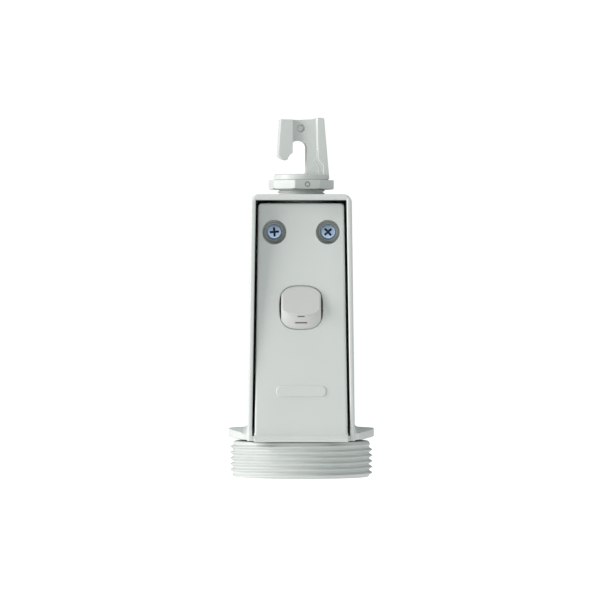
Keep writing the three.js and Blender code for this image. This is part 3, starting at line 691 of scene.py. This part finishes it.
def rocker_section(x):
    """The rocker's outline at x, in (out, z) from the pivot, for z from top to bottom."""
    lowered = max(0.0, (abs(x) - ROCKER["face_half"]) / (ROCKER["half"] - ROCKER["face_half"]))
    face = ROCKER["face"] - 3.0 * (1 - math.sqrt(max(0.0, 1 - lowered ** 2)))
    edge = hole_half_high(x)
    edge_angle = math.atan2(edge, PIVOT.y)
    reach = math.hypot(edge, PIVOT.y) - ROCKER["gap"]
    shoulder_angle = edge_angle - math.radians(ROCKER["swing"] + 1.5)
    skirt_angle = edge_angle + math.radians(ROCKER["swing"] + 1)
    shoulder = Vector((reach * math.cos(shoulder_angle), reach * math.sin(shoulder_angle)))
    shoulder.x = min(shoulder.x, face - 0.15)
    ridge = Vector((face, max(0.6, shoulder.y - 0.6)))
    half = [Vector((face, ridge.y * share)) for share in (0.25, 0.6, 0.85)]
    for share in (0.0, 0.3, 0.65, 1.0):
        half.append(ridge.lerp(shoulder, share) + Vector((0.12, 0.12)) * math.sin(math.pi * share))
    for share in (0.15, 0.3, 0.5, 0.7, 0.85, 1.0):
        angle = shoulder_angle + (skirt_angle - shoulder_angle) * share
        half.append(Vector((reach * math.cos(angle), reach * math.sin(angle))))
    skirt = half[-1]
    half += [skirt + Vector((-1.8, -3)), Vector((1.5, 5))]
    mirrored = [Vector((point.x, -point.y)) for point in reversed(half)]
    return [(x, -point.x, point.y) for point in half + mirrored]


def rocker():
    stations = [ROCKER["half"], 10.39, 10.3, 10.15, 9.95, 9.7, 9.4, 9.0, 8.2, 7.2, 6, 4.5, 3, 1.5]
    across = [-x for x in stations] + [0] + stations[::-1]
    paddle = loft([rocker_section(x) for x in across])
    trunnions = rod(1.5, (-12.6, 0, 0), (12.6, 0, 0), 24)
    boss = rod(4.2, (0, -6, 0), (0, 6.5, 0), 32)
    paddle = fuse(paddle, trunnions, boss)
    paddle = cut(paddle, rod(2.4, (0, -8, 0), (0, 12, 0), 24))
    move(paddle, ROCKER_PLACE)
    return finish(paddle, "rocker_key", "shell_plastic", "rocker", ["rocker"], 30, ["rocker_plastic"])


def rocker_dashes():
    """Two plain printed dashes on the rocker's lower flank."""
    reach = math.hypot(HOLE["high"], PIVOT.y) - ROCKER["gap"]
    for i, (half, below, high) in enumerate(((1.8, 8.15, 0.75), (3.1, 11.0, 0.6))):
        rings = []
        for x in (-half, -half / 2, 0, half / 2, half):
            corners = []
            near, far = below - high / 2, below + high / 2
            for z, lift in ((near, 0.03), (far, 0.03), (far, -0.15), (near, -0.15)):
                radius = reach + lift
                corners.append((x, -math.sqrt(radius ** 2 - z ** 2), -z))
            rings.append(corners)
        dash = move(loft(rings), ROCKER_PLACE)
        finish(dash, f"rocker_dash_{i + 1}", "shell_plastic", "rocker", ["rocker"], 30, ["print"])


# ---------------------------------------------------------------- threads, collar, nut and hook
def thread_ridge(root, crest, pitch, start, turns, section, steps=96):
    """A right-hand ridge from start = (angle in degrees, z), fading in and out."""
    rings = []
    total = round(turns * steps)
    for step in range(total + 1):
        turn = step / steps
        fade = min(1.0, 0.04 + 2.5 * turn, 0.04 + 2.5 * (turns - turn))
        angle = math.radians(start[0]) + math.tau * turn
        middle = start[1] + pitch * turn
        ring = []
        for out, up in section:
            radius = root + (crest - root) * out * fade if out > 0 else root - 0.4
            ring.append((radius * math.cos(angle), radius * math.sin(angle), middle + up * pitch))
        rings.append(ring)
    return loft(rings)


COLLAR = {
    "crest": 37.5, "root": 35.85, "bore": 33.0, "web": 14.0,
    "pitch": 3.0, "turns": 5.7, "start": (135, 0.4),
}
V_THREAD = [
    (0, -0.47), (0.04, -0.4), (0.9, -0.1), (1.0, -0.06),
    (1.0, 0.06), (0.9, 0.1), (0.04, 0.4), (0, 0.47),
]


def collar():
    root, bore, web = COLLAR["root"], COLLAR["bore"], COLLAR["web"]
    height = gasket_box.z0
    pocket, neck = insert_box.x1 + 0.1, 22.8
    shoulder = [(root - 1.1 * run, height - 1.1 * (1 - rise)) for run, rise in arc_steps(5)]
    profile = [(bore, 0.4), (bore + 0.4, 0), (root - 0.7, 0), (root - 0.15, 0.45), (root, 0.9), *shoulder,
               (pocket, height), (pocket, INSERT_LEDGE), (neck, INSERT_LEDGE), (neck, web + 0.4),
               (neck + 0.4, web), (bore - 0.8, web), (bore - 0.2, web - 0.2), (bore, web - 0.8)]
    body = turned(profile, 160)
    ridge = thread_ridge(root, COLLAR["crest"], COLLAR["pitch"], COLLAR["start"], COLLAR["turns"], V_THREAD)
    lead = turned([(0, 0.1), (36.4, 0.1), (38, 1.7), (38, height - 0.1), (0, height - 0.1)], 160)
    body = fuse(body, combine(ridge, [lead], "INTERSECT"))
    body = cut(body, *[
        rod(BOLT_HOLE, (b.middle.x, b.middle.y, 10), (b.middle.x, b.middle.y, 22), 20) for b in BOLTS
    ])
    return finish(body, "collar_moulding", "shell_plastic", "housing", ["thread_collar"], 24)


def gasket():
    """A flat seal with a lug round each bolt."""
    low, high = gasket_box.z0, gasket_box.z1
    rings = []
    for z, inset in ((low, 0.25), (low + 0.25, 0), (high - 0.25, 0), (high, 0.25)):
        ring = []
        for i in range(144):
            angle = math.tau * i / 144
            radius = 31.2 + 1.6 * math.cos(4 * (angle - math.pi / 4)) - inset
            ring.append((radius * math.cos(angle), radius * math.sin(angle), z))
        rings.append(ring)
    holes = [rod(24.3, (0, 0, low - 1), (0, 0, high + 1), 96)]
    holes += [
        rod(BOLT_HOLE, (b.middle.x, b.middle.y, low - 1), (b.middle.x, b.middle.y, high + 1), 20)
        for b in BOLTS
    ]
    return finish(cut(loft(rings), *holes), "flange_seal", "gasket_rubber", "housing", ["collar_gasket"])


NUT = {"across": 32.4, "turn": 12.0}


def locknut():
    low, high = nut_box.z0, nut_box.z1
    corner = NUT["across"] / 2 / math.cos(math.pi / 8)
    angles = [math.radians(NUT["turn"]) + math.tau * (i + 0.5) / 8 for i in range(8)]
    prism_rings = [[(corner * math.cos(a), corner * math.sin(a), z) for a in angles] for z in (low, high)]
    nut = soften(loft(prism_rings), 0.35, 3, 30)
    cone = turned([(0, low - 1), (corner - 2.2, low - 1), (corner - 1.1, low), (corner + 0.4, low + 0.75),
                   (corner + 0.4, high - 0.1), (corner - 0.1, high + 1), (0, high + 1)], 128)
    nut = combine(nut, [cone], "INTERSECT")
    nut = cut(nut, rod(SPIGOT_HOLE, (0, 0, low - 2), (0, 0, high + 2), 96))
    facing = math.radians(NUT["turn"]) + math.tau * 6 / 8
    outward = Vector((math.cos(facing), math.sin(facing), 0))
    centre = outward * NUT["across"] / 2 + Vector((0, 0, (low + high) / 2))
    mark = rod(1.55, centre - outward * 0.8, centre + outward * 2, 40, 1.7)
    hub = rod(0.95, centre - outward * 1, centre - outward * 0.12, 32, 0.8)
    nut = fuse(cut(nut, mark), hub)
    return finish(nut, "octagon_nut", "shell_plastic", "nut", ["locknut"], 30)


SPIGOT = {"crest": 12.45, "root": 11.4, "bore": 9.0, "pitch": 1.5}
HOOK = {
    "turn": 8.0, "front": -7.5, "back": 1.5, "web": -4.6,
    "flange": 14.4, "flange_top": 159.1, "flange_bottom": 156.15,
}
FINE_THREAD = [(0, -0.46), (0.05, -0.42), (1.0, -0.1), (1.0, 0.1), (0.05, 0.42), (0, 0.46)]
CORD_HOLE = [
    (1.2, -4.9, 0.6), (1.2, 4.9, 0.6), (-6.2, 4.9, 0.8),
    (-8.2, 3.1, 0.8), (-8.2, -3.1, 0.8), (-6.2, -4.9, 0.8),
]
CHANNEL_WALL = [(7.3, 192), (7.9, 167.2), (10.7, 163.5), (10.7, 159.1)]


def channel_cut():
    """The hollow in the hook's front; its right wall curves into a web that slopes back to the left."""
    front = HOOK["front"]
    depth = HOOK["web"] - front
    rings = []
    for wall, z in CHANNEL_WALL:
        ring = [(wall + 0.35, front - 3, z), (wall + 0.3, front, z)]
        for run, rise in arc_steps(4):
            ring.append((wall - 0.9 * run, front + 0.3 + rise, z))
        ring += [(-4.8, front + depth, z), (-5.5, front + depth - 0.5, z), (-5.5, front - 3, z)]
        rings.append(ring)
    return loft(rings)


def hook():
    top, front, back = hook_box.z1, HOOK["front"], HOOK["back"]
    outline = [(-11.7, top - 0.9), (-12.15, 181), (-13.0, 168.8)]
    outline += [(-12.6, 168.2), (-11.4, 167.4), (-9.8, 166.7), (-8.4, 166.4)]
    outline += [(-8.1, 167.2), (-7.8, 168.0), (-7.2, 168.9), (-6.4, 169.7), (-5.5, 170.2)]
    arch = rounded([(-5.5, 170.2), (-5.5, 176.7, 2.6), (2.3, 176.7, 3.7), (2.3, 161)], 8)
    outline += arch[1:]
    outline += [
        (2.0, 160), (1.3, 158.8), (9.5, 158.8), (9.5, 156.6), (14.0, 156.6),
        (11.25, top - 0.6), (10.9, top - 0.1), (7.5, top),
    ]
    outline += rounded([(7.5, top), (5.2, top - 0.8, 4), (-2, top - 1.15)], 6)[1:-1]
    outline += [(-2, top - 1.1)]
    blade = soften(prism(outline, front, back), 0.28, 2, 45)
    blade = cut(blade, channel_cut())
    ribs = []
    for step, face, high in ((1.2, -7.0, 171.5), (2.6, -6.55, 168.0)):
        wall = [(11.1, 158.9), (11.1, 163.6), (8.3, 167.3), (8.2, high + 0.8), (7.6 - step * 0.3, high),
                (8.1 - step, 166.9 - step * 0.2), (10.8 - step, 163.2 - step * 0.4), (10.8 - step, 158.9)]
        ribs.append(soften(prism(wall, face, HOOK["web"] + 0.4), 0.25, 2))
    blade = fuse(blade, *ribs)
    mark_x, mark_z, web = -0.9, 183.2, HOOK["web"]
    blade = cut(blade, rod(1.95, (mark_x, web + 0.35, mark_z), (mark_x, web - 2, mark_z), 40, 2.2))
    pip = rod(0.35, (-12.2, -5.5, 176.6), (-12.9, -5.5, 176.6), 16, 0.2)
    disc = rod(1.6, (mark_x, web + 0.6, mark_z), (mark_x, web + 0.02, mark_z), 40, 1.5)
    blade = fuse(blade, disc, pip)
    flange, low, high = HOOK["flange"], HOOK["flange_bottom"], HOOK["flange_top"]
    plate_disc = turned([
        (0, low), (flange - 0.08, low), (flange, low + 0.08), (flange, high - 0.7),
        (flange - 0.2, high - 0.3), (flange - 0.7, high), (0, high),
    ], 96)
    stem = rod(SPIGOT["root"], (0, 0, hook_box.z0), (0, 0, low + 0.5), 96)
    ridge = thread_ridge(SPIGOT["root"], SPIGOT["crest"], SPIGOT["pitch"], (0, 144.6), 6.4, FINE_THREAD, 64)
    whole = fuse(plate_disc, blade, stem, ridge)
    bore = rod(SPIGOT["bore"], (0, 0, hook_box.z0 - 2), (0, 0, low), 64)
    hole_rings = [[(x, y, z) for x, y in rounded(CORD_HOLE, 4)] for z in (low - 0.6, high + 1)]
    whole = cut(whole, bore, loft(hole_rings))
    move(whole, Matrix.Rotation(math.radians(HOOK["turn"]), 4, "Z"))
    return finish(whole, "hook_moulding", "shell_plastic", "hook", ["hanger_hook"], 32)


# ---------------------------------------------------------------- screws
def pan_screw(node, along, head_turn, slots=2, body="housing"):
    """A pan-head screw with its point towards `along`, sized and placed by its CAD node's box."""
    box = Box(node)
    axis = max(range(3), key=lambda i: abs(along[i]))
    length = box.size[axis]
    others = [box.size[i] for i in range(3) if i != axis]
    head = max(others) / 2
    thick = min(2.3, head * 0.62)
    profile = [(0, 0), (head - 0.1, 0), (head, 0.1), (head, thick * 0.5)]
    profile += [
        (head - (head * 0.32) * run, thick * (0.5 + 0.5 * rise) - 0.12 * run)
        for run, rise in arc_steps(5)[1:]
    ]
    profile += [(head * 0.35, thick - 0.04), (0, thick)]
    screw = turned(profile, 48)
    shank = rod(head * 0.46, (0, 0, thick - length), (0, 0, 0.3), 24)
    screw = fuse(screw, shank)
    arm, wide = head * 0.66, head * 0.15
    floor = thick * 0.2
    tools = []
    for i in range(slots):
        cross = loft([
            [(x * arm * 0.42, y * wide * 0.75, floor) for x, y in ((-1, -1), (1, -1), (1, 1), (-1, 1))],
            [(x * arm * 0.92, y * wide, thick * 0.8) for x, y in ((-1, -1), (1, -1), (1, 1), (-1, 1))],
            [(x * arm, y * wide, thick + 0.3) for x, y in ((-1, -1), (1, -1), (1, 1), (-1, 1))],
        ])
        tools.append(move(cross, Matrix.Rotation(math.radians(head_turn + 90 * i), 4, "Z")))
    screw = cut(screw, *tools)
    # Faces inside the cross recess get material 1, the near-black painted shade for the recess.
    for face in screw.data.polygons:
        centre = face.center
        inside = math.hypot(centre.x, centre.y) < arm * 0.985 and floor - 0.01 < centre.z < thick * 0.93
        face.material_index = 1 if inside else 0
    turn = Vector((0, 0, -1)).rotation_difference(Vector(along)).to_matrix().to_4x4()
    seat = box.middle - Vector(along) * (length / 2 - thick)
    move(screw, Matrix.Translation(seat) @ turn)
    return finish(screw, node + "_finished", "zinc_screw", body, [node], 32, ["zinc_screw", "recess"])


# ---------------------------------------------------------------- socket insert
def socket_insert():
    face, flange_low = insert_box.z0, INSERT_LEDGE
    radius, neck = 22.5, 23.0
    top = insert_box.z1
    profile = [(0, face), (radius - 1.2, face)]
    profile += [(radius - 1.2 + 1.2 * rise, face + 1.2 * run) for run, rise in arc_steps(4)[1:]]
    profile += [
        (radius, flange_low), (insert_box.x1, flange_low), (insert_box.x1, gasket_box.z0),
        (neck, gasket_box.z0), (neck, top), (0, top),
    ]
    body = turned(profile, 96)
    circle, earth = 7.92, 10.31
    pins = [(-circle * math.cos(math.radians(30)), -circle / 2, -60, 7.0),
            (circle * math.cos(math.radians(30)), -circle / 2, 60, 7.0), (0, earth, 90, 9.8)]
    tools = []
    for x, y, turn, wide in pins:
        place = Matrix.Translation((x, y, 0)) @ Matrix.Rotation(math.radians(turn), 4, "Z")
        slot = loft([
            [(sx * (wide / 2 + grow), sy * (1.1 + grow), z) for sx, sy in ((-1, -1), (1, -1), (1, 1), (-1, 1))]
            for z, grow in ((face - 0.5, 0.9), (face + 0.4, 0.0), (16, 0.0))
        ])
        pocket = block(-wide / 2 - 0.9, wide / 2 + 0.9, -2.5, 2.5, 13, top + 1)
        tools += [move(slot, place), move(pocket, place)]
    body = cut(body, *tools)
    return finish(body, "socket_moulding", "inner_plastic", "housing", ["socket_insert"], 35)


# ---------------------------------------------------------------- carried-over nodes
def dress_hidden_nodes():
    """CAD nodes that keep their shape get their slot's material."""
    slots = {entry["node"]: entry["material_slot"] for entry in frame["record"]["subparts"]}
    for name, node in frame["nodes"].items():
        node.data.materials.clear()
        node.data.materials.append(MATERIALS[slots[name]])


add_camera()
add_lights()
add_floor()
dress_hidden_nodes()
housing()
plate()
rocker()
rocker_dashes()
collar()
gasket()
locknut()
hook()
socket_insert()
for side, turn in (("left", 5), ("right", 42)):
    pan_screw(f"plate_screw_{side}", (0, 1, 0), turn)
for i in range(1, 5):
    pan_screw(f"collar_screw_{i}", (0, 0, 1), 20 * i)
